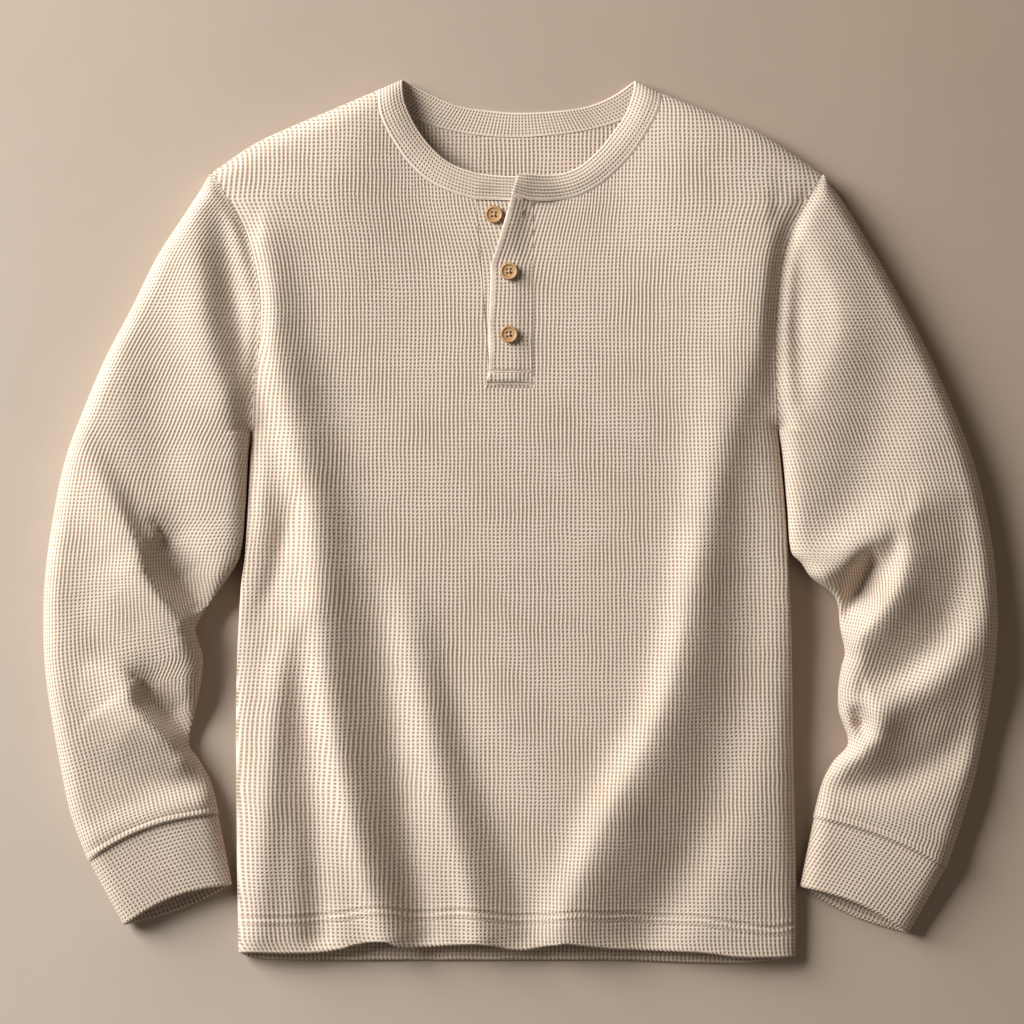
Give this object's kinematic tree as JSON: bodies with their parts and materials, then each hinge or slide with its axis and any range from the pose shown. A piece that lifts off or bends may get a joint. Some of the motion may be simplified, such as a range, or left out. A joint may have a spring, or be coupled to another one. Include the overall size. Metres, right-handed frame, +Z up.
{
  "type": "henley shirt",
  "caption": "Long-sleeved waffle-knit henley shirt laid flat, front up, with an open top button, cuffs, neckband and turned-up hem.",
  "frame": {"origin": "under the middle of the laid shirt, on the surface it lies on", "axes": "+X toward the sleeve on the right as seen from above, +Y toward the collar, +Z up, away from the surface"},
  "size_m": [0.7648, 0.7076, 0.0344],
  "materials": {
    "waffle_knit": "oatmeal cotton waffle knit, matt",
    "button_wood": "light brown wood, satin"
  },
  "bodies": {
    "root": {"front": "waffle_knit", "back": "waffle_knit", "sleeve_left": "waffle_knit", "sleeve_right": "waffle_knit", "cuff_left": "waffle_knit", "cuff_right": "waffle_knit", "neckband": "waffle_knit", "placket_under": "waffle_knit", "placket_over": "waffle_knit", "button_1": "button_wood", "button_2": "button_wood", "button_3": "button_wood"}
  },
  "joints": []
}
